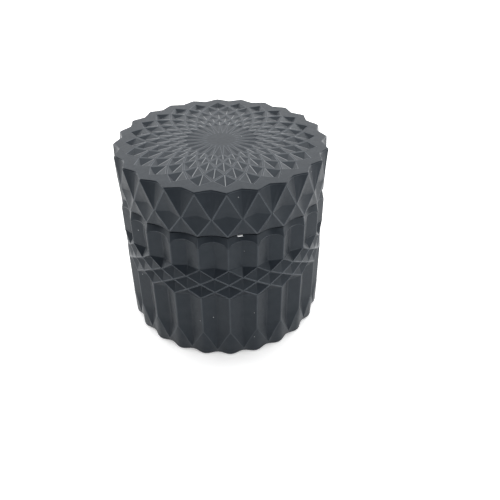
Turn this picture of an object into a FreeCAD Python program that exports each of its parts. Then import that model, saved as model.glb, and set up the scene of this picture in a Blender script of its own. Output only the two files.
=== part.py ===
import FreeCAD, Part
import math
import os

# Hand-turned grinder in a pressed-glass jar with a matching glass lid.
#
# Millimetres, +Z up. The origin is the middle of the foot, on the surface the jar stands on.
# The glass has one pattern pitch per flute. A place round it is given in pitches, counted
# anticlockwise from the front ridge, which faces -Y. Ridges are at whole pitches and the
# middles of the flutes at half pitches.

# Glass pattern
PITCHES = 24
RIDGE_R = 40.0
FLUTE_R = 37.4
MID = 0.5

# Jar, outside, from the foot up
FOOT_BUMP_R = 39.8
FOOT_NOTCH_R = 38.3
FOOT_PATCH_Z = (2.6, 12.2)
FOOT_PATCH_R = 39.3
FLUTE_TOP_Z = 28.6
BELT_R = 39.7
BELT_Z = (42.4, 38.5, 35.5, 32.3, 29.3)
BELT_DIMPLE = 1.1
UPPER_FLUTE_Z = (41.4, 52.4)
RIM_BAND_R = 38.0
RIM_BAND_Z = (52.2, 53.4)
JAR_H = 55.6

# Jar, inside and underneath
CHAMBER_R = 32.0
CHAMBER_FLOOR_Z = 6.0
CHAMBER_FILLET = 5.0
LEDGE_Z = 52.0
MOUTH_R = 35.2
PUNT_R = 33.0
PUNT_DEPTH = 0.8

# Lid glass
LID_BOTTOM_Z = 56.15
LID_CROSSING_Z = 63.3
LID_TOP_Z = 73.6
LID_BOTTOM_R = 39.4
LID_NOTCH_R = 37.8
LID_BOTTOM_NOTCH_R = 38.0
SIDE_DIMPLE_R = 38.0
SIDE_DIMPLE_Z = 63.8
LID_CAVITY_R = 33.9
LID_CEILING_Z = 67.6
KITE_R = (36.0, 32.0, 27.2, 22.6, 18.4, 15.2, 12.4, 4.5)
KITE_DEPTH = 1.4
STAR_DEPTH = 0.4
KITE_APEX_SHIFT = 0.3

# Grinding chamber
TRAY_TOP_Z = 54.0
TRAY_FLANGE_R = 33.9
TRAY_FLANGE_T = 1.6
TRAY_SKIRT_R = (30.2, 31.7)
TRAY_SKIRT_H = 3.0
TRAY_WALL_R = (29.5, 31.0)
TRAY_WALL_TOP_Z = 62.4
PLATE_Z = (64.0, 67.1)
PLATE_R = 33.4
PLATE_SKIRT_R = 31.3
PLATE_SKIRT_Z = 57.0
ADHESIVE_R = 31.0

# Teeth and drop holes
TOOTH_WIDTH = 3.5
TOOTH_LENGTH = 5.2
TOOTH_GAP = 1.6
LID_TEETH = ((9.2, 6), (17.9, 12), (26.6, 18))
TRAY_TEETH = ((13.55, 8), (22.25, 14))
DROP_HOLE_R = 1.9

# Magnets in their hubs
HUB_R = 5.0
HUB_TOP_Z = 58.0
HUB_AIR_GAP = 0.4
MAGNET_R = 3.5
MAGNET_H = 3.0

# Slip ring between the tray wall and the lid plate
SLIP_LIP_R = (28.9, 29.35)
SLIP_LIP_H = 2.0

# Seal round the tray flange, with the tab that lifts the tray out
SEAL_R = (32.9, 35.05)
SEAL_Z = (52.1, 54.2)
TAB_PITCH = 0.427
TAB_WIDTH = 1.8
TAB_T = 0.35
TAB_LEG_R = 34.35
TAB_END_R = 38.4

OUT = "parts"
ZERO = FreeCAD.Vector(0, 0, 0)
UP = FreeCAD.Vector(0, 0, 1)


def at(radius, pitch, z):
    """A point at a radius, a place round the pattern and a height."""
    angle = math.radians(360.0 * pitch / PITCHES - 90.0)
    return FreeCAD.Vector(radius * math.cos(angle), radius * math.sin(angle), z)


def facet(*points):
    """A flat face with these corners."""
    return Part.Face(Part.makePolygon(list(points) + [points[0]]))


def zigzag(ridge_r, middle_r, z):
    """Closed outline that steps between a radius at the ridges and one at the flutes."""
    points = []
    for i in range(PITCHES):
        points.append(at(ridge_r, i, z))
        points.append(at(middle_r, i + MID, z))
    return Part.makePolygon(points + [points[0]])


def sewn_solid(faces):
    """One closed solid from faces that meet edge to edge."""
    shell = Part.makeShell(faces)
    shell.sewShape()
    solid = Part.makeSolid(shell)
    if solid.Volume < 0:
        solid.reverse()
    return solid


def disc(radius, z_low, z_high):
    """A round slab about the object's axis."""
    return Part.makeCylinder(radius, z_high - z_low, FreeCAD.Vector(0, 0, z_low), UP)


def tube(r_inner, r_outer, z_low, z_high):
    """A round tube about the object's axis."""
    return disc(r_outer, z_low, z_high).cut(disc(r_inner, z_low, z_high))


def dimple(corners, bottom):
    """Facets from the corners of an opening down to one lowest point."""
    return [facet(corners[i - 1], corners[i], bottom) for i in range(len(corners))]


def rim_and_upper_flutes(i):
    """Outside faces of one pitch from the rim down to the diamond belt."""
    faces = []
    low, high = UPPER_FLUTE_Z
    middle = i + MID
    arch_top = at(RIM_BAND_R, middle, RIM_BAND_Z[1])
    flute_top = at(FLUTE_R, middle, high)
    flute_end = at(FLUTE_R, middle, low)
    belt_point = at(BELT_R, middle, BELT_Z[1])
    for ridge in (i, i + 1):
        spring = at(RIDGE_R, ridge, RIM_BAND_Z[0])
        ridge_end = at(RIDGE_R, ridge, BELT_Z[0])
        rim_band = (at(RIDGE_R, ridge, JAR_H), spring, arch_top, at(RIM_BAND_R, middle, JAR_H))
        faces.append(facet(*rim_band))
        faces.append(facet(spring, flute_top, arch_top))
        faces.append(facet(spring, ridge_end, flute_end, flute_top))
        faces.append(facet(ridge_end, belt_point, flute_end))
    return faces


def belt_radius(row):
    """The first and last rows of the belt lie on the ridges, the others just inside them."""
    return RIDGE_R if row in (0, len(BELT_Z) - 1) else BELT_R


def diamond_belt(i):
    """The sunk diamonds of one pitch: three rows, each half a pitch along from the last."""
    faces = []
    for row in range(len(BELT_Z) - 2):
        centre = i + MID * (row % 2)
        side_r = belt_radius(row + 1)
        corners = (
            at(belt_radius(row), centre, BELT_Z[row]),
            at(side_r, centre - MID, BELT_Z[row + 1]),
            at(belt_radius(row + 2), centre, BELT_Z[row + 2]),
            at(side_r, centre + MID, BELT_Z[row + 1]),
        )
        faces += dimple(corners, at(BELT_R - BELT_DIMPLE, centre, BELT_Z[row + 1]))
    return faces


def lower_flutes_and_foot(i):
    """Outside faces of one pitch from the belt to the foot, where a patch closes each flute."""
    faces = []
    middle = i + MID
    patch_low, patch_high = FOOT_PATCH_Z
    belt_point = at(BELT_R, middle, BELT_Z[3])
    flute_top = at(FLUTE_R, middle, FLUTE_TOP_Z)
    flute_bend = at(FLUTE_R, middle, patch_high)
    flute_end = at(FOOT_PATCH_R, middle, patch_low)
    foot_notch = at(FOOT_NOTCH_R, middle, 0)
    for ridge in (i, i + 1):
        ridge_top = at(RIDGE_R, ridge, BELT_Z[4])
        ridge_end = at(RIDGE_R, ridge, patch_high)
        foot_bump = at(FOOT_BUMP_R, ridge, 0)
        faces.append(facet(belt_point, ridge_top, flute_top))
        faces.append(facet(ridge_top, ridge_end, flute_bend, flute_top))
        faces.append(facet(ridge_end, flute_end, flute_bend))
        faces.append(facet(ridge_end, foot_bump, flute_end))
        faces.append(facet(foot_bump, foot_notch, flute_end))
    return faces


def jar():
    """Thick glass jar with a round chamber, a ledge for the tray and a hollow under the foot."""
    faces = [
        Part.Face(zigzag(RIDGE_R, RIM_BAND_R, JAR_H)),
        Part.Face(zigzag(FOOT_BUMP_R, FOOT_NOTCH_R, 0)),
    ]
    for i in range(PITCHES):
        faces += rim_and_upper_flutes(i)
        faces += diamond_belt(i)
        faces += lower_flutes_and_foot(i)
    glass = sewn_solid(faces)
    chamber = disc(CHAMBER_R, CHAMBER_FLOOR_Z, LEDGE_Z)
    floor_edge = [e for e in chamber.Edges if e.BoundBox.ZMax < CHAMBER_FLOOR_Z + 0.1]
    chamber = chamber.makeFillet(CHAMBER_FILLET, floor_edge)
    mouth = disc(MOUTH_R, LEDGE_Z, JAR_H)
    return glass.cut(chamber).cut(mouth).cut(disc(PUNT_R, 0, PUNT_DEPTH))


def lid_side(i):
    """Side of the lid for one pitch: a sunk diamond on the ridge between scooped triangles."""
    middle = i + MID
    crossing = at(RIDGE_R, middle, LID_CROSSING_Z)
    crossing_before = at(RIDGE_R, i - MID, LID_CROSSING_Z)
    rim_notch = at(LID_NOTCH_R, middle, LID_TOP_Z)
    bottom_notch = at(LID_BOTTOM_NOTCH_R, middle, LID_BOTTOM_Z)
    corners = (
        at(RIDGE_R, i, LID_TOP_Z), crossing_before,
        at(LID_BOTTOM_R, i, LID_BOTTOM_Z), crossing,
    )
    faces = dimple(corners, at(SIDE_DIMPLE_R, i, SIDE_DIMPLE_Z))
    for ridge in (i, i + 1):
        faces.append(facet(at(RIDGE_R, ridge, LID_TOP_Z), rim_notch, crossing))
        faces.append(facet(at(LID_BOTTOM_R, ridge, LID_BOTTOM_Z), bottom_notch, crossing))
    return faces


def lid_kites(ring):
    """One ring of kite-shaped dimples in the lid's top. The innermost ring makes the star."""
    faces = []
    outer, side, inner = KITE_R[ring:ring + 3]
    is_star = inner == KITE_R[-1]
    depth = STAR_DEPTH if is_star else KITE_DEPTH * side / KITE_R[1]
    lowest_r = side + KITE_APEX_SHIFT * (outer - side)
    for i in range(PITCHES):
        centre = i + MID * (ring % 2)
        corners = (
            at(outer, centre, LID_TOP_Z),
            at(side, centre - MID, LID_TOP_Z),
            at(inner, centre, LID_TOP_Z),
            at(side, centre + MID, LID_TOP_Z),
        )
        faces += dimple(corners, at(lowest_r, centre, LID_TOP_Z - depth))
    return faces


def lid_shell():
    """Thick glass lid, hollow below, with a pattern pressed into its top."""
    rim_outline = zigzag(RIDGE_R, LID_NOTCH_R, LID_TOP_Z)
    pattern_outline = zigzag(KITE_R[0], KITE_R[1], LID_TOP_Z)
    faces = [
        Part.makeFace([rim_outline, pattern_outline], "Part::FaceMakerBullseye"),
        Part.Face(zigzag(KITE_R[-2], KITE_R[-1], LID_TOP_Z)),
        Part.Face(zigzag(LID_BOTTOM_R, LID_BOTTOM_NOTCH_R, LID_BOTTOM_Z)),
    ]
    for i in range(PITCHES):
        faces += lid_side(i)
    for ring in range(len(KITE_R) - 2):
        faces += lid_kites(ring)
    return sewn_solid(faces).cut(disc(LID_CAVITY_R, LID_BOTTOM_Z, LID_CEILING_Z))


def tooth(radius, degrees, z_low, z_high):
    """One upright diamond-shaped tooth, its long diagonal along the direction of turning."""
    across = TOOTH_WIDTH / 2
    along = TOOTH_LENGTH / 2
    outline = facet(
        FreeCAD.Vector(radius - across, 0, z_low),
        FreeCAD.Vector(radius, -along, z_low),
        FreeCAD.Vector(radius + across, 0, z_low),
        FreeCAD.Vector(radius, along, z_low),
    )
    post = outline.extrude(FreeCAD.Vector(0, 0, z_high - z_low))
    post.rotate(ZERO, UP, degrees)
    return post


def teeth(rings, z_low, z_high):
    """All the teeth of one plate, ring by ring."""
    posts = []
    for radius, count in rings:
        for i in range(count):
            posts.append(tooth(radius, 360.0 * i / count, z_low, z_high))
    return posts


def drop_holes():
    """Round holes through the tray floor, on the circles that the lid's teeth sweep."""
    holes = []
    for radius, count in LID_TEETH:
        for i in range(count):
            hole = Part.makeCylinder(
                DROP_HOLE_R, TRAY_TOP_Z - LEDGE_Z, FreeCAD.Vector(radius, 0, LEDGE_Z), UP)
            hole.rotate(ZERO, UP, 360.0 * (i + MID) / count)
            holes.append(hole)
    return holes


def grind_tray():
    """Aluminium tray that sits on the jar's ledge: flange, skirt, wall, hub, teeth and holes."""
    tray = disc(TRAY_FLANGE_R, LEDGE_Z, LEDGE_Z + TRAY_FLANGE_T)
    tray = tray.fuse([
        disc(TRAY_WALL_R[1], LEDGE_Z, TRAY_TOP_Z),
        tube(TRAY_SKIRT_R[0], TRAY_SKIRT_R[1], LEDGE_Z - TRAY_SKIRT_H, LEDGE_Z),
        tube(TRAY_WALL_R[0], TRAY_WALL_R[1], TRAY_TOP_Z, TRAY_WALL_TOP_Z),
        disc(HUB_R, TRAY_TOP_Z, HUB_TOP_Z),
    ] + teeth(TRAY_TEETH, TRAY_TOP_Z, PLATE_Z[0] - TOOTH_GAP))
    return tray.cut([tray_magnet()] + drop_holes()).removeSplitter()


def tray_magnet():
    """Disc magnet pressed into the top of the tray's hub."""
    return disc(MAGNET_R, HUB_TOP_Z - MAGNET_H, HUB_TOP_Z)


def lid_magnet():
    """Disc magnet pressed into the bottom of the lid plate's hub."""
    hub_bottom = HUB_TOP_Z + HUB_AIR_GAP
    return disc(MAGNET_R, hub_bottom, hub_bottom + MAGNET_H)


def lid_tooth_plate():
    """Aluminium plate bonded in the lid: rim skirt, hub and the teeth that hang down."""
    plate = disc(PLATE_R, *PLATE_Z)
    plate = plate.fuse([
        tube(PLATE_SKIRT_R, PLATE_R, PLATE_SKIRT_Z, PLATE_Z[0]),
        disc(HUB_R, HUB_TOP_Z + HUB_AIR_GAP, PLATE_Z[0]),
    ] + teeth(LID_TEETH, TRAY_TOP_Z + TOOTH_GAP, PLATE_Z[0]))
    return plate.cut(lid_magnet()).removeSplitter()


def lid_adhesive():
    """Layer of epoxy between the glass ceiling and the tooth plate."""
    return disc(ADHESIVE_R, PLATE_Z[1], LID_CEILING_Z)


def slip_ring():
    """Plastic ring on top of the tray wall, kept central by a lip inside the wall."""
    bearing = tube(SLIP_LIP_R[0], TRAY_WALL_R[1], TRAY_WALL_TOP_Z, PLATE_Z[0])
    lip = tube(*SLIP_LIP_R, TRAY_WALL_TOP_Z - SLIP_LIP_H, TRAY_WALL_TOP_Z)
    return bearing.fuse(lip).removeSplitter()


def tray_seal():
    """Silicone seal hooked over the tray flange, with a pull tab folded out over the jar's rim."""
    flange_top = LEDGE_Z + TRAY_FLANGE_T
    seal = tube(TRAY_FLANGE_R, SEAL_R[1], *SEAL_Z).fuse(tube(*SEAL_R, flange_top, SEAL_Z[1]))
    leg = Part.makeBox(
        SEAL_R[1] - TAB_LEG_R, TAB_WIDTH, JAR_H + TAB_T - SEAL_Z[1] + TAB_T,
        FreeCAD.Vector(TAB_LEG_R, -TAB_WIDTH / 2, SEAL_Z[1] - TAB_T))
    fold = Part.makeBox(
        TAB_END_R - TAB_LEG_R, TAB_WIDTH, TAB_T,
        FreeCAD.Vector(TAB_LEG_R, -TAB_WIDTH / 2, JAR_H))
    tab = leg.fuse(fold)
    tab.rotate(ZERO, UP, 360.0 * TAB_PITCH / PITCHES - 90.0)
    return seal.fuse(tab).removeSplitter()


PARTS = (
    jar, lid_shell, lid_adhesive, lid_tooth_plate, lid_magnet,
    slip_ring, grind_tray, tray_magnet, tray_seal,
)

os.makedirs(OUT, exist_ok=True)
for make in PARTS:
    make().exportStep(os.path.join(OUT, make.__name__ + ".step"))
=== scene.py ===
import math

import bpy
import numpy as np
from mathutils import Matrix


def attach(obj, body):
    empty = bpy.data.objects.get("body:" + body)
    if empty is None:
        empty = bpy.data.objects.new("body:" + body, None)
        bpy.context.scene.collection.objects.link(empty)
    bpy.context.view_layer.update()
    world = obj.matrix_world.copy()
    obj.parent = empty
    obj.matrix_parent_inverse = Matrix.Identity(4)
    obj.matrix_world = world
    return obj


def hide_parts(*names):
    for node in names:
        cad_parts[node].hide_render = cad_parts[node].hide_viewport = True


# Looks of the hand-turned grinder: a pressed-glass jar and lid, and what the jar holds.
# The two glass pieces are built here as facets with softened creases. All other pieces are the
# CAD nodes themselves, with rounded edges and their own materials.
#
# Shape dimensions are in millimetres, as in the CAD, and become metres in build_piece. A place
# round the glass is counted in pattern pitches from the front ridge, which faces -Y.

MM = 0.001
PITCHES = 24
FRONT_ANGLE = -90.0
MID = 0.5
STEPS = 8
HALF = STEPS // 2

# Outline of the glass
RIDGE_R = 40.0
FLUTE_R = 37.4
CUSP_SHARPNESS = 1.7
EDGE_STRIP = 1.0

# Jar, outside
FOOT_BUMP_R = 39.8
FOOT_NOTCH_R = 38.3
FOOT_PATCH_Z = (2.6, 12.2)
FOOT_PATCH_R = 39.3
FOOT_BEND = 1.5
FOOT_ROUND = (0.45, 0.7)
FLUTE_TOP_Z = 28.6
BELT_R = 39.7
BELT_Z = (42.4, 38.5, 35.5, 32.3, 29.3)
BELT_DIMPLE = 1.6
BELT_DIMPLE_LIFT = 0.5
BELT_LAND = 0.14
FLUTE_END_Z = 42.0
ARCH_SPRING_Z = 51.6
ARCH_RISE = 1.9
ARCH_SQUARENESS = 2.4
RIM_NOTCH_R = 38.2
RIM_LEAN = 0.9
JAR_H = 55.6

# Jar, inside and underneath
CHAMBER_R = 32.0
CHAMBER_FLOOR_Z = 6.0
CHAMBER_FILLET = 5.0
FILLET_STEPS = 6
LEDGE_Z = 52.0
MOUTH_R = 35.2
PUNT_R = 33.0
PUNT_DEPTH = 0.8

# Lid
LID_BOTTOM_Z = 56.15
LID_CROSSING_Z = 63.3
LID_TOP_Z = 73.6
LID_BOTTOM_R = 39.4
LID_BOTTOM_NOTCH_R = 38.0
LID_NOTCH_R = 37.8
LID_CROSSING_R = 39.8
LID_RIM_ROUND = 0.4
LID_CAVITY_R = 33.9
LID_CEILING_Z = 67.6
SIDE_KITE_APEX = (38.0, 63.8)
SIDE_LAND = 0.2
KITE_R = (36.0, 32.0, 27.2, 22.6, 18.4, 15.2, 12.4, 4.5)
KITE_DEPTH = 1.4
KITE_DEPTH_FALL = 2.2
KITE_APEX_SHIFT = 0.3
STAR_DEPTH = 0.4
KITE_LAND = 0.25

# Softening of creases
SOFT_WIDTH = 0.19
FLUTE_SOFT_WIDTH = 0.5
CREASE_ANGLE = math.radians(4)
SOFT_SHARE = 0.35
ROUNDING = 0.5
# Painted highlight on ridges that stand proud, as a share of full strength; the lattice lands take it
# in full.
RIDGE_HIGHLIGHT_SHARE = 0.35
LEAST_SPLIT_SINE = 0.2
LEAST_CORNER_SINE = 1e-4
NO_LENGTH = 1e-12
LONGEST_SPLIT = 0.4
NO_PAINTED_HIGHLIGHT = (0.0, 0.0)
SAME_PLACE_DIGITS = 3
FACE_AREA_WEIGHT = 90


def at(radius, pitch, z):
    """A point at a radius, a place round the pattern and a height."""
    angle = math.radians(360.0 * pitch / PITCHES + FRONT_ANGLE)
    return np.array((radius * math.cos(angle), radius * math.sin(angle), z))


def unit(vector):
    """The vector at length one. A vector of no length stays as it is."""
    return vector / max(np.linalg.norm(vector), NO_LENGTH)


def inset_corner(corner, before, after, distance):
    """The point inside a polygon's corner at one distance from both the corner's edges."""
    back = unit(before - corner)
    ahead = unit(after - corner)
    sine = max(np.linalg.norm(np.cross(back, ahead)), LEAST_CORNER_SINE)
    return corner + distance * (back + ahead) / sine


class Facets:
    """Facets that share corners. Those with the same group make one smooth surface."""

    def __init__(self):
        self.points = []
        self.faces = []
        self.groups = []
        self.known = {}
        # Edges that get a painted glint line along their crease.
        self.glint_creases = set()

    def corner(self, point):
        key = tuple(round(float(c), SAME_PLACE_DIGITS) for c in point)
        if key not in self.known:
            self.known[key] = len(self.points)
            self.points.append(np.array(point, float))
        return self.known[key]

    def add(self, *points, group=None):
        face = []
        for point in points:
            index = self.corner(point)
            if index not in face:
                face.append(index)
        if len(face) > 2:
            self.faces.append(face)
            self.groups.append(group)

    # Marks an edge for a painted glint line along its crease.
    def mark_crease_glint(self, start, end):
        self.glint_creases.add(frozenset((self.corner(start), self.corner(end))))

    def sunk(self, outline, land, tip, groups=None):
        """A flat land just inside an outline, and facets from the land down to a tip."""
        groups = groups or [None] * len(outline)
        inner = []
        for i, corner in enumerate(outline):
            after = outline[(i + 1) % len(outline)]
            inner.append(inset_corner(corner, outline[i - 1], after, land))
        for i, group in enumerate(groups):
            land_group = ("land", group or len(self.faces))
            self.add(outline[i - 1], outline[i], inner[i], inner[i - 1], group=land_group)
            self.add(inner[i - 1], inner[i], tip, group=group)
        return inner


def ring(radius, z):
    """Points all round at one radius and height, a few to each pitch."""
    return [at(radius, i / STEPS, z) for i in range(PITCHES * STEPS)]


def join_rings(facets, rings, group):
    """One smooth surface through a row of rings."""
    for near, far in zip(rings, rings[1:]):
        for i in range(len(near)):
            facets.add(near[i - 1], near[i], far[i], far[i - 1], group=group)


def join_bands(facets, rings, groups):
    """A surface of its own between each ring and the next."""
    for near, far, group in zip(rings, rings[1:], groups):
        join_rings(facets, (near, far), group)


def outline_radius(x, cusp, notch):
    """Radius of a scalloped outline, a share x of the way from one cusp to the next."""
    return notch + (cusp - notch) * abs(2 * x - 1) ** CUSP_SHARPNESS


def scallops(i, cusp, notch, z):
    """One pitch of a scalloped outline, from cusp to cusp."""
    return [at(outline_radius(k / STEPS, cusp, notch), i + k / STEPS, z) for k in range(STEPS + 1)]


def on_flute(i, k, z):
    """A point on the two flat sides of a flute."""
    side = i if k <= HALF else i + 1
    share = abs(2 * k / STEPS - 1)
    return share * at(RIDGE_R, side, z) + (1 - share) * at(FLUTE_R, i + MID, z)


def arch_height(k):
    """Height of the arch that ends a flute at the rim band."""
    x = abs(2 * k / STEPS - 1)
    return ARCH_SPRING_Z + ARCH_RISE * math.sqrt(1 - x ** ARCH_SQUARENESS)


def belt_node(row, pitch):
    """A crossing of the belt's lattice. The top and bottom ones lie on the ridges."""
    radius = RIDGE_R if row in (0, len(BELT_Z) - 1) else BELT_R
    return at(radius, pitch, BELT_Z[row])


def jar_rim(facets, i):
    """Rim top, rim band and the arched end of the flute below it."""
    top = scallops(i, RIDGE_R - RIM_LEAN, RIM_NOTCH_R - RIM_LEAN, JAR_H)
    arch = []
    flute = []
    for k in range(STEPS + 1):
        z = arch_height(k)
        radius = outline_radius(k / STEPS, RIDGE_R, RIM_NOTCH_R)
        edge = at(radius, i + k / STEPS, z)
        depth = np.linalg.norm(edge[:2]) - np.linalg.norm(on_flute(i, k, z)[:2])
        arch.append(edge)
        flute.append(on_flute(i, k, z - depth))
    inner = [at(MOUTH_R + EDGE_STRIP, i + k / STEPS, JAR_H) for k in range(STEPS + 1)]
    for k in range(STEPS):
        facets.add(inner[k], inner[k + 1], top[k + 1], top[k], group="rim")
        facets.add(top[k], top[k + 1], arch[k + 1], arch[k], group=("band", i))
        facets.add(arch[k], arch[k + 1], flute[k + 1], flute[k], group=("arch", i))
    end = at(FLUTE_R, i + MID, FLUTE_END_Z)
    facets.add(*flute[:HALF + 1], end, belt_node(0, i), group=("flank", i, 0))
    facets.add(*flute[HALF:], belt_node(0, i + 1), end, group=("flank", i, 1))


def jar_belt(facets, i):
    """The lattice of sunk diamonds, with the shelf above it and the flute heads below it."""
    middle = i + MID
    shelf_end = at(FLUTE_R, middle, FLUTE_END_Z)
    flute_top = at(FLUTE_R, middle, FLUTE_TOP_Z)
    for side in (i, i + 1):
        facets.add(belt_node(0, side), shelf_end, belt_node(1, middle))
        facets.add(belt_node(4, side), flute_top, belt_node(3, middle))
    for row in range(len(BELT_Z) - 2):
        centre = i + MID * (row % 2)
        outline = (
            belt_node(row, centre), belt_node(row + 1, centre - MID),
            belt_node(row + 2, centre), belt_node(row + 1, centre + MID),
        )
        lift = BELT_DIMPLE_LIFT * (BELT_Z[row] - BELT_Z[row + 1])
        tip = at(BELT_R - BELT_DIMPLE, centre, BELT_Z[row + 1] + lift)
        facets.sunk(outline, BELT_LAND, tip)


def foot_outline(i, k, inset, z):
    """A point on the soft wave of the foot."""
    swing = 0.5 + 0.5 * math.cos(2 * math.pi * k / STEPS)
    return at(FOOT_NOTCH_R + (FOOT_BUMP_R - FOOT_NOTCH_R) * swing - inset, i + k / STEPS, z)


def jar_foot(facets, i):
    """Lower flutes, the patches that close them at the foot, and the ring the jar stands on."""
    low, high = FOOT_PATCH_Z
    inset, lift = FOOT_ROUND
    flute_top = at(FLUTE_R, i + MID, FLUTE_TOP_Z)
    end = at(FOOT_PATCH_R, i + MID, low)
    crease = []
    valley = []
    for k in range(HALF + 1):
        share = k / HALF
        z = high + share * (low - high)
        ridges = (at(RIDGE_R, i, high), at(RIDGE_R, i + 1, high))
        crease.append([share * end + (1 - share) * ridge for ridge in ridges])
        valley.append(at(FLUTE_R + (FOOT_PATCH_R - FLUTE_R) * share ** FOOT_BEND, i + MID, z))
    for side in (0, 1):
        flank = ("flank", i, side)
        facets.add(belt_node(4, i + side), crease[0][side], valley[0], flute_top, group=flank)
        for k in range(HALF):
            facets.add(crease[k][side], valley[k], valley[k + 1], crease[k + 1][side], group=flank)
    edge = [near for near, far in crease] + [far for near, far in crease[-2::-1]]
    for k in range(STEPS):
        patch = ("patch", i if k < HALF else (i + 1) % PITCHES)
        line = [foot_outline(i, n, 0, lift) for n in (k, k + 1)]
        stand = [foot_outline(i, n, inset, 0) for n in (k, k + 1)]
        facets.add(edge[k], edge[k + 1], line[1], line[0], group=patch)
        facets.add(line[0], line[1], stand[1], stand[0], group="foot edge")
        inner = [at(PUNT_R + EDGE_STRIP, i + n / STEPS, 0) for n in (k, k + 1)]
        facets.add(stand[0], stand[1], inner[1], inner[0], group="foot")


def jar_inside(facets):
    """The mouth with its ledge, and the chamber with its rounded floor."""
    mouth = [
        ring(MOUTH_R + EDGE_STRIP, JAR_H), ring(MOUTH_R, JAR_H),
        ring(MOUTH_R, LEDGE_Z), ring(CHAMBER_R, LEDGE_Z),
    ]
    join_bands(facets, mouth, ("rim", "mouth", "ledge"))
    chamber = [mouth[-1]]
    centre_r = CHAMBER_R - CHAMBER_FILLET
    centre_z = CHAMBER_FLOOR_Z + CHAMBER_FILLET
    for k in range(FILLET_STEPS + 1):
        turn = math.radians(90 * k / FILLET_STEPS)
        radius = centre_r + CHAMBER_FILLET * math.cos(turn)
        chamber.append(ring(radius, centre_z - CHAMBER_FILLET * math.sin(turn)))
    chamber.append(ring(centre_r / 2, CHAMBER_FLOOR_Z))
    join_rings(facets, chamber, "chamber")
    facets.add(*chamber[-1], group="chamber")


def jar_underside(facets):
    """The shallow hollow under the jar."""
    under = [
        ring(PUNT_R + EDGE_STRIP, 0), ring(PUNT_R, 0),
        ring(PUNT_R, PUNT_DEPTH), ring(PUNT_R / 2, PUNT_DEPTH),
    ]
    join_bands(facets, under, ("foot", "punt side", "punt"))
    facets.add(*under[-1], group="punt")


def jar_facets():
    """All of the jar's surface, as one closed set of facets."""
    facets = Facets()
    for i in range(PITCHES):
        jar_rim(facets, i)
        jar_belt(facets, i)
        jar_foot(facets, i)
    jar_inside(facets)
    jar_underside(facets)
    return facets


def lid_side(facets, i):
    """Side of the lid for one pitch: a sunk diamond on the ridge, a scoop above the crossing."""
    edge_z = LID_TOP_Z - LID_RIM_ROUND
    crossing = at(LID_CROSSING_R, i + MID, LID_CROSSING_Z)
    crossing_before = at(LID_CROSSING_R, i - MID, LID_CROSSING_Z)
    cusp = at(RIDGE_R, i, edge_z)
    foot = at(LID_BOTTOM_R, i, LID_BOTTOM_Z)
    upper, lower = ("kite", i, "upper"), ("kite", i, "lower")
    apex = at(SIDE_KITE_APEX[0], i, SIDE_KITE_APEX[1])
    facets.sunk((cusp, crossing_before, foot, crossing), SIDE_LAND, apex, (upper, upper, lower, lower))
    edge = scallops(i, RIDGE_R, LID_NOTCH_R, edge_z)
    top = scallops(i, RIDGE_R - LID_RIM_ROUND, LID_NOTCH_R - LID_RIM_ROUND, LID_TOP_Z)
    bottom = scallops(i, LID_BOTTOM_R, LID_BOTTOM_NOTCH_R, LID_BOTTOM_Z)
    inner = [at(LID_CAVITY_R + EDGE_STRIP, i + k / STEPS, LID_BOTTOM_Z) for k in range(STEPS + 1)]
    for k in range(STEPS):
        facets.add(edge[k], edge[k + 1], top[k + 1], top[k], group=("rim edge", i))
        facets.add(edge[k], edge[k + 1], crossing, group=("scoop", i, k < HALF))
        facets.add(bottom[k], bottom[k + 1], crossing, group=("below crossing", i))
        facets.add(bottom[k], bottom[k + 1], inner[k + 1], inner[k], group="lid bottom")
    side_kite = at(KITE_R[1], i + MID, LID_TOP_Z)
    facets.add(*top[:HALF + 1], side_kite, at(KITE_R[0], i, LID_TOP_Z), group="lid top")
    facets.add(*top[HALF:], at(KITE_R[0], i + 1, LID_TOP_Z), side_kite, group="lid top")


def lid_kites(facets, row):
    """One ring of sunk kites in the lid's top. The innermost ring makes the star."""
    outer, side, inner = KITE_R[row:row + 3]
    is_star = row == len(KITE_R) - 3
    depth = STAR_DEPTH if is_star else KITE_DEPTH * (side / KITE_R[1]) ** KITE_DEPTH_FALL
    for i in range(PITCHES):
        centre = i + MID * (row % 2)
        outline = (
            at(outer, centre, LID_TOP_Z), at(side, centre - MID, LID_TOP_Z),
            at(inner, centre, LID_TOP_Z), at(side, centre + MID, LID_TOP_Z),
        )
        tip = at(side + KITE_APEX_SHIFT * (outer - side), centre, LID_TOP_Z - depth)
        inner_corners = facets.sunk(outline, KITE_LAND * side / KITE_R[1], tip)
        if not is_star:
            # The crease from the kite's inner corner down to its tip gets a painted glint line.
            facets.mark_crease_glint(inner_corners[2], tip)


def lid_middle(facets):
    """The flat middle of the lid's top, with its points between the spokes of the star."""
    tips_r, middle_r = KITE_R[-2:]
    middle = []
    for i in range(PITCHES):
        before, here, after = [at(middle_r, i + shift, LID_TOP_Z) for shift in (-MID, 0, MID)]
        middle += [before, here]
        facets.add(at(tips_r, i, LID_TOP_Z), after, here, before)
    facets.add(*middle)


def lid_cavity(facets):
    """The hollow that holds the tooth plate."""
    cavity = [
        ring(LID_CAVITY_R + EDGE_STRIP, LID_BOTTOM_Z), ring(LID_CAVITY_R, LID_BOTTOM_Z),
        ring(LID_CAVITY_R, LID_CEILING_Z), ring(LID_CAVITY_R / 2, LID_CEILING_Z),
    ]
    join_bands(facets, cavity, ("lid bottom", "cavity side", "ceiling"))
    facets.add(*cavity[-1], group="ceiling")


def lid_facets():
    """All of the lid's surface, as one closed set of facets."""
    facets = Facets()
    for i in range(PITCHES):
        lid_side(facets, i)
    for row in range(len(KITE_R) - 2):
        lid_kites(facets, row)
    lid_middle(facets)
    lid_cavity(facets)
    return facets


def face_normal(corners):
    """The outward direction of a face, twice as long as the face's area."""
    total = np.zeros(3)
    for i in range(len(corners)):
        total += np.cross(corners[i - 1], corners[i])
    return total


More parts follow.
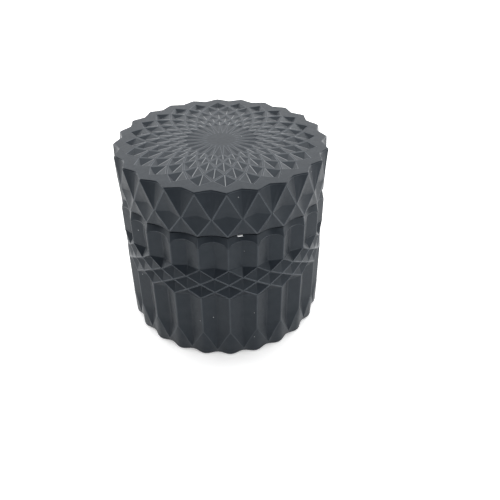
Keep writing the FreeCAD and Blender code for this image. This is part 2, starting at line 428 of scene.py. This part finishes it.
def orient(facets):
    """Turns the faces so that they all wind the same way, outward."""
    users = {}
    for f, face in enumerate(facets.faces):
        for a, b in zip(face, face[1:] + face[:1]):
            users.setdefault(frozenset((a, b)), []).append((f, a))
    wrong = [e for e, u in users.items() if len(u) != 2]
    if wrong:
        raise ValueError(f"{len(wrong)} edges do not join two faces")
    flipped = {0: False}
    queue = [0]
    while queue:
        f = queue.pop()
        face = facets.faces[f]
        for a, b in zip(face, face[1:] + face[:1]):
            (f1, a1), (f2, a2) = users[frozenset((a, b))]
            other = f2 if f1 == f else f1
            if other not in flipped:
                flipped[other] = flipped[f] ^ (a1 == a2)
                queue.append(other)
    faces = [face[::-1] if flipped[f] else face for f, face in enumerate(facets.faces)]
    points = facets.points
    volume = sum(np.dot(points[face[0]], face_normal([points[c] for c in face])) for face in faces)
    return faces if volume > 0 else [face[::-1] for face in faces]


def crease_widths(facets, faces, normals):
    """Half the width of the rounding on each face: wider on flutes, narrower on small facets."""
    widths = []
    for face, normal, group in zip(faces, normals, facets.groups):
        corners = [facets.points[c] for c in face]
        around = sum(np.linalg.norm(corners[i] - corners[i - 1]) for i in range(len(corners)))
        widest = FLUTE_SOFT_WIDTH if group and group[0] == "flank" else SOFT_WIDTH
        widths.append(min(widest, SOFT_SHARE * np.linalg.norm(normal) / around))
    return widths


def find_creases(facets, faces, normals):
    """Which edges are creases, and how strong the painted highlight is on each one that stands proud.
    """
    points = facets.points
    groups = facets.groups
    beside = {}
    for f, face in enumerate(faces):
        for k, a in enumerate(face):
            beside.setdefault(frozenset((a, face[(k + 1) % len(face)])), []).append(f)
    crease = {}
    highlight_strength = {}
    for edge, (f1, f2) in beside.items():
        is_smooth = groups[f1] is not None and groups[f1] == groups[f2]
        bend = np.dot(unit(normals[f1]), unit(normals[f2]))
        crease[edge] = not is_smooth and bend < math.cos(CREASE_ANGLE)
        middle = np.mean([points[c] for c in faces[f2]], axis=0)
        # Ridges that stand proud get a painted highlight in the base colour: full on the lattice
        # lands, a share elsewhere.
        if crease[edge] and np.dot(normals[f1], middle - points[min(edge)]) < 0:
            on_land = "land" in (group[0] for group in (groups[f1], groups[f2]) if group)
            highlight_strength[edge] = 1.0 if on_land else RIDGE_HIGHLIGHT_SHARE
    return crease, highlight_strength


def smooth_edge_splits(points, faces, crease, widths):
    """Where a rounded crease ends on a smooth edge: one place for the faces on both its sides."""
    splits = {}
    for f, face in enumerate(faces):
        for k, v in enumerate(face):
            neighbours = (face[k - 1], face[(k + 1) % len(face)])
            for smooth, sharp in (neighbours, neighbours[::-1]):
                edge = frozenset((v, smooth))
                if crease[edge] or not crease[frozenset((v, sharp))]:
                    continue
                along = points[smooth] - points[v]
                across = np.cross(unit(along), unit(points[sharp] - points[v]))
                reach = min(widths[f] / max(np.linalg.norm(across), LEAST_SPLIT_SINE),
                            LONGEST_SPLIT * np.linalg.norm(along))
                splits[(v, edge)] = min(reach, splits.get((v, edge), reach))
    return {(v, e): points[v] + reach * unit(sum(points[p] for p in e) - 2 * points[v])
            for (v, e), reach in splits.items()}


def inner_corners(points, face, k, width, crease, held):
    """Where a corner of a face goes once the creases beside it are rounded.

    A corner between two creases moves in to a new point. One that a crease and a smooth edge share
    goes to the held place on the smooth edge. Any other stays, with the held places beside it.
    """
    before, v, after = face[k - 1], face[k], face[(k + 1) % len(face)]
    edge_in = frozenset((before, v))
    edge_out = frozenset((v, after))
    if crease[edge_in] and crease[edge_out]:
        points.append(inset_corner(points[v], points[before], points[after], width))
        return [len(points) - 1]
    if crease[edge_in]:
        return [held[(v, edge_out)]]
    if crease[edge_out]:
        return [held[(v, edge_in)]]
    places = (held.get((v, edge_in)), v, held.get((v, edge_out)))
    return [p for p in places if p is not None]


def soften(facets):
    """Rounds each crease with a narrow strip on both its sides.

    Returns the points, the faces and, for each face corner, how much painted highlight it takes from a
    ridge that stands proud and from a marked crease.
    """
    points = list(facets.points)
    faces = orient(facets)
    normals = [face_normal([points[c] for c in face]) for face in faces]
    widths = crease_widths(facets, faces, normals)
    crease, highlight_strength = find_creases(facets, faces, normals)
    held = {}
    for key, place in smooth_edge_splits(points, faces, crease, widths).items():
        held[key] = len(points)
        points.append(place)
    strips = {}
    new_faces = []
    highlight_shares = []
    for face, width in zip(faces, widths):
        inner = []
        ends = {}
        for k, v in enumerate(face):
            found = inner_corners(points, face, k, width, crease, held)
            if found != [v]:
                strips.setdefault(v, set()).update(p for p in found if p != v)
            ends[v] = (found[0], found[-1])
            inner += found
        new_faces.append(inner)
        highlight_shares += [NO_PAINTED_HIGHLIGHT] * len(inner)
        for k, a in enumerate(face):
            b = face[(k + 1) % len(face)]
            edge = frozenset((a, b))
            if crease[edge]:
                new_faces.append([a, b, ends[b][0], ends[a][1]])
                # The crease strip's outer corners carry the painted ridge highlight and the painted
                # crease glint.
                crease_highlights = (highlight_strength.get(edge, 0.0), float(edge in facets.glint_creases))
                highlight_shares += [crease_highlights, crease_highlights, NO_PAINTED_HIGHLIGHT, NO_PAINTED_HIGHLIGHT]
    settled = {v: sum(points[p] for p in around) / len(around) for v, around in strips.items()}
    for v, centre in settled.items():
        points[v] = points[v] + ROUNDING * (centre - points[v])
    return points, new_faces, highlight_shares


def build_piece(name, facets):
    """A Blender mesh from facets with rounded creases, shaded smoothly across the rounding."""
    points, faces, highlight_shares = soften(facets)
    mesh = bpy.data.meshes.new(name)
    mesh.from_pydata([tuple(p * MM) for p in points], [], faces)
    # Corner attributes that place the painted highlights on ridges and crease lines.
    for share_name, values in zip(("painted_ridge_highlight", "painted_crease_glint"), zip(*highlight_shares)):
        mesh.attributes.new(share_name, "FLOAT", "CORNER").data.foreach_set("value", values)
    mesh.validate()
    mesh.polygons.foreach_set("use_smooth", [True] * len(mesh.polygons))
    piece = bpy.data.objects.new(mesh.name, mesh)
    bpy.context.scene.collection.objects.link(piece)
    shading = piece.modifiers.new("shading", "WEIGHTED_NORMAL")
    shading.mode = "FACE_AREA"
    shading.weight = FACE_AREA_WEIGHT
    return piece


# Materials. Noise scales are counts to a metre and bump heights are metres.

NOISE_BAND = (0.3, 0.7)
COAT_TONES = ((0.0080, 0.0115, 0.0165), (0.0120, 0.0158, 0.0215))
# Painted highlight colour for ridges and lattice lands, much lighter than the coat.
RIDGE_HIGHLIGHT_TONE = (0.130, 0.143, 0.158)
# Painted glint colour for the kites' crease lines.
CREASE_GLINT_TONE = (0.36, 0.37, 0.38)
DUST_TONE = (0.35, 0.36, 0.37)
DUST_SCALE = 150.0
DUST_EDGE = (0.035, 0.02)
GLASS_SPECULAR = 0.28
GLASS_SPECULAR_TINT = (0.84, 0.93, 1.0, 1.0)
ALUMINIUM_TONES = ((0.40, 0.41, 0.43), (0.50, 0.51, 0.53))
LATHE_RINGS_SCALE = 400.0
LATHE_RINGS_DISTORTION = 0.4
NICKEL_TONES = ((0.42, 0.40, 0.36), (0.52, 0.50, 0.46))
EPOXY_TONES = ((0.52, 0.48, 0.38), (0.62, 0.58, 0.48))
SLIP_PLASTIC_TONES = ((0.58, 0.58, 0.56), (0.68, 0.68, 0.66))
SILICONE_TONES = ((0.66, 0.67, 0.68), (0.76, 0.77, 0.78))
SOFT_SOLID_DEPTH = (0.002, 0.002, 0.002)
SOFT_SOLID_GLOW = 0.15
FLOOR_TONES = ((0.90, 0.90, 0.90), (0.93, 0.93, 0.93))


class Nodes:
    """A material's node tree, with short calls for the nodes used here."""

    def __init__(self, name):
        self.material = bpy.data.materials.new(name)
        self.material.use_nodes = True
        self.tree = self.material.node_tree
        self.shader = self.tree.nodes["Principled BSDF"]

    def add(self, kind, **settings):
        node = self.tree.nodes.new(kind)
        for key, value in settings.items():
            setattr(node, key, value)
        return node

    def link(self, source, target):
        self.tree.links.new(source, target)

    def place(self):
        return self.add("ShaderNodeTexCoord").outputs["Object"]

    def noise(self, scale, detail=3.0, roughness=0.55):
        node = self.add("ShaderNodeTexNoise")
        node.inputs["Scale"].default_value = scale
        node.inputs["Detail"].default_value = detail
        node.inputs["Roughness"].default_value = roughness
        self.link(self.place(), node.inputs["Vector"])
        return node.outputs["Fac"]

    def spread(self, source, low, high, to_low=0.0, to_high=1.0):
        node = self.add("ShaderNodeMapRange")
        bounds = {"From Min": low, "From Max": high, "To Min": to_low, "To Max": to_high}
        for socket, value in bounds.items():
            node.inputs[socket].default_value = value
        self.link(source, node.inputs["Value"])
        return node.outputs["Result"]

    def blend(self, share, first, second):
        node = self.add("ShaderNodeMix", data_type="RGBA")
        self.link(share, node.inputs["Factor"])
        for socket, value in ((node.inputs["A"], first), (node.inputs["B"], second)):
            if isinstance(value, tuple):
                socket.default_value = (*value, 1.0)
            else:
                self.link(value, socket)
        return node.outputs["Result"]

    def bump(self, height, strength, distance, below=None):
        node = self.add("ShaderNodeBump")
        node.inputs["Strength"].default_value = strength
        node.inputs["Distance"].default_value = distance
        self.link(height, node.inputs["Height"])
        if below is not None:
            self.link(below, node.inputs["Normal"])
        return node.outputs["Normal"]

    def mottled(self, scale, tones):
        """Colours the surface with noise between two tones."""
        share = self.spread(self.noise(scale), *NOISE_BAND)
        self.link(self.blend(share, *tones), self.shader.inputs["Base Color"])

    def rough(self, scale, low, high, detail=3.0):
        """Gives the surface a roughness that varies between two values."""
        roughness = self.spread(self.noise(scale, detail), *NOISE_BAND, low, high)
        self.link(roughness, self.shader.inputs["Roughness"])

    def relief(self, normal):
        self.link(normal, self.shader.inputs["Normal"])

    def set(self, **values):
        for key, value in values.items():
            self.shader.inputs[key.replace("_", " ")].default_value = value


def black_glass():
    """Satin black coat on pressed glass: mottled, with painted highlights on the raised ridges,
    lattice lands and marked crease lines, and a little dust.
    """
    m = Nodes("black_glass")
    coat_and_highlights = m.blend(m.spread(m.noise(scale=260.0), low=0.35, high=0.65), *COAT_TONES)
    # Painted highlights: a lighter base colour on ridges that stand proud and on marked crease lines,
    # broken up by noise.
    highlight_strength = m.spread(m.noise(scale=120.0), low=0.25, high=0.75, to_low=0.45)
    for share_name, tone in (("painted_ridge_highlight", RIDGE_HIGHLIGHT_TONE), ("painted_crease_glint", CREASE_GLINT_TONE)):
        edge = m.add("ShaderNodeAttribute", attribute_name=share_name)
        share = m.add("ShaderNodeMath", operation="MULTIPLY")
        m.link(edge.outputs["Fac"], share.inputs[0])
        m.link(highlight_strength, share.inputs[1])
        coat_and_highlights = m.blend(share.outputs[0], coat_and_highlights, tone)
    dust = m.add("ShaderNodeTexVoronoi", feature="F1")
    dust.inputs["Scale"].default_value = DUST_SCALE
    m.link(m.place(), dust.inputs["Vector"])
    coat_and_highlights = m.blend(m.spread(dust.outputs["Distance"], *DUST_EDGE), coat_and_highlights, DUST_TONE)
    m.link(coat_and_highlights, m.shader.inputs["Base Color"])
    m.rough(scale=900.0, low=0.36, high=0.46, detail=4.0)
    grain = m.bump(m.noise(scale=5200.0, detail=2.0), strength=0.3, distance=0.00004)
    ripple = m.noise(scale=90.0, detail=1.0)
    m.relief(m.bump(ripple, strength=0.12, distance=0.0006, below=grain))
    m.set(Specular_IOR_Level=GLASS_SPECULAR, Specular_Tint=GLASS_SPECULAR_TINT)
    return m.material


def machined_aluminium():
    """Turned and tumbled aluminium with fine rings from the lathe."""
    m = Nodes("machined_aluminium")
    m.mottled(220.0, ALUMINIUM_TONES)
    m.rough(scale=1500.0, low=0.24, high=0.40)
    rings = m.add("ShaderNodeTexWave", wave_type="RINGS", rings_direction="Z")
    rings.inputs["Scale"].default_value = LATHE_RINGS_SCALE
    rings.inputs["Distortion"].default_value = LATHE_RINGS_DISTORTION
    m.link(m.place(), rings.inputs["Vector"])
    turned = m.bump(rings.outputs["Fac"], strength=0.15, distance=0.00002)
    tumbled = m.noise(scale=2600.0)
    m.relief(m.bump(tumbled, strength=0.1, distance=0.00002, below=turned))
    m.set(Metallic=1.0)
    return m.material


def nickel():
    """Nickel plating: bright, with a slightly uneven sheen."""
    m = Nodes("nickel")
    m.mottled(400.0, NICKEL_TONES)
    m.rough(scale=3000.0, low=0.14, high=0.3)
    m.relief(m.bump(m.noise(scale=1800.0), strength=0.2, distance=0.00002))
    m.set(Metallic=1.0)
    return m.material


def soft_solid(name, tones, roughness, grain):
    """Plastic, silicone or adhesive: slightly mottled, with light passing just below the surface."""
    m = Nodes(name)
    m.mottled(180.0, tones)
    m.rough(1400.0, *roughness)
    m.relief(m.bump(m.noise(grain), strength=0.25, distance=0.00005))
    m.set(Subsurface_Weight=SOFT_SOLID_GLOW, Subsurface_Radius=SOFT_SOLID_DEPTH)
    return m.material


BEVEL_SEGMENTS = 2
BEVEL_ANGLE = math.radians(35)


def dress_node(name, material, edge_mm):
    """A CAD node keeps its shape: it gets its material, and its sharp edges a slight round."""
    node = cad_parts[name]
    node.data.materials.clear()
    node.data.materials.append(material)
    rounding = node.modifiers.new("rounding", "BEVEL")
    rounding.width = edge_mm * MM
    rounding.segments = BEVEL_SEGMENTS
    rounding.limit_method = "ANGLE"
    rounding.angle_limit = BEVEL_ANGLE
    rounding.harden_normals = True


# Stage, in metres, degrees and watts

FLOOR_SIZE = 6.0
FLOOR_GLOW = 0.34
WORLD_STRENGTH = 0.22
LIGHT_AIM = (0.0, 0.0, 0.04)
LIGHTS = (
    ("back", (0.0, 0.9, 0.55), (1.6, 0.8), 6.6),
    ("top", (0.0, 0.15, 1.2), (1.6, 1.6), 15.5),
    ("left", (-0.8, 0.6, 0.35), (0.8, 0.8), 8.5),
    ("right", (0.8, 0.6, 0.35), (0.8, 0.8), 8.5),
    ("front_right", (0.75, -0.45, 0.3), (0.5, 0.5), 2.0),
)
CAMERA_PLACE = (-0.00553, -0.19446, 0.16533)
CAMERA_TILT = 53.61
CAMERA_TURN = -4.8
CAMERA_LENS_MM = 40.67
CAMERA_SENSOR_MM = 36.0
CAMERA_NEAREST = 0.01


def floor():
    mesh = bpy.data.meshes.new("floor")
    half = FLOOR_SIZE / 2
    corners = [(-half, -half, 0), (half, -half, 0), (half, half, 0), (-half, half, 0)]
    mesh.from_pydata(corners, [], [(0, 1, 2, 3)])
    plane = bpy.data.objects.new("floor", mesh)
    bpy.context.scene.collection.objects.link(plane)
    m = Nodes("pale_floor")
    m.mottled(40.0, FLOOR_TONES)
    m.set(Roughness=0.8, Emission_Color=(1.0, 1.0, 1.0, 1.0), Emission_Strength=FLOOR_GLOW)
    mesh.materials.append(m.material)


def area_light(name, place, size, power):
    """A rectangular light that faces the middle of the object."""
    light = bpy.data.lights.new(name, "AREA")
    light.shape = "RECTANGLE"
    light.size, light.size_y = size
    light.energy = power
    lamp = bpy.data.objects.new(name, light)
    bpy.context.scene.collection.objects.link(lamp)
    lamp.location = place
    aim = np.array(LIGHT_AIM) - np.array(place)
    tilt = math.atan2(math.hypot(aim[0], aim[1]), -aim[2])
    lamp.rotation_euler = (tilt, 0, math.atan2(aim[1], aim[0]) - math.pi / 2)


def world_light():
    world = bpy.data.worlds.new("studio")
    bpy.context.scene.world = world
    world.use_nodes = True
    background = world.node_tree.nodes["Background"]
    background.inputs["Color"].default_value = (1, 1, 1, 1)
    background.inputs["Strength"].default_value = WORLD_STRENGTH


def camera():
    lens = bpy.data.cameras.new("camera")
    lens.lens = CAMERA_LENS_MM
    lens.sensor_width = CAMERA_SENSOR_MM
    lens.clip_start = CAMERA_NEAREST
    view = bpy.data.objects.new("camera", lens)
    bpy.context.scene.collection.objects.link(view)
    view.location = CAMERA_PLACE
    view.rotation_euler = (math.radians(CAMERA_TILT), 0, math.radians(CAMERA_TURN))
    bpy.context.scene.camera = view


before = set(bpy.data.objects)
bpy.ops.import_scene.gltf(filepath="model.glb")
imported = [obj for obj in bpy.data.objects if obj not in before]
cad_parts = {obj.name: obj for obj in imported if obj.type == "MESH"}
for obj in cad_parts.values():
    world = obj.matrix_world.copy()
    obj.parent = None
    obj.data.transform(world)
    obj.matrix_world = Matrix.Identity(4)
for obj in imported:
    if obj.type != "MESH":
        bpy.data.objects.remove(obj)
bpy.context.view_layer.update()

glass = black_glass()
for name, facets, body in (("jar_glass", jar_facets(), "jar"), ("lid_glass", lid_facets(), "lid")):
    piece = build_piece(name, facets)
    piece.data.materials.append(glass)
    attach(piece, body)
    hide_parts("jar" if body == "jar" else "lid_shell")

aluminium = machined_aluminium()
magnet = nickel()
epoxy = soft_solid("epoxy", EPOXY_TONES, roughness=(0.2, 0.35), grain=900.0)
plastic = soft_solid("slip_plastic", SLIP_PLASTIC_TONES, roughness=(0.35, 0.5), grain=2200.0)
silicone = soft_solid("silicone", SILICONE_TONES, roughness=(0.4, 0.55), grain=1600.0)
for name, material, edge_mm in (
    ("grind_tray", aluminium, 0.2), ("lid_tooth_plate", aluminium, 0.2),
    ("tray_magnet", magnet, 0.1), ("lid_magnet", magnet, 0.1),
    ("lid_adhesive", epoxy, 0.1), ("slip_ring", plastic, 0.12), ("tray_seal", silicone, 0.08),
):
    dress_node(name, material, edge_mm)

floor()
world_light()
for light in LIGHTS:
    area_light(*light)
camera()
bpy.context.scene.view_settings.view_transform = "Standard"
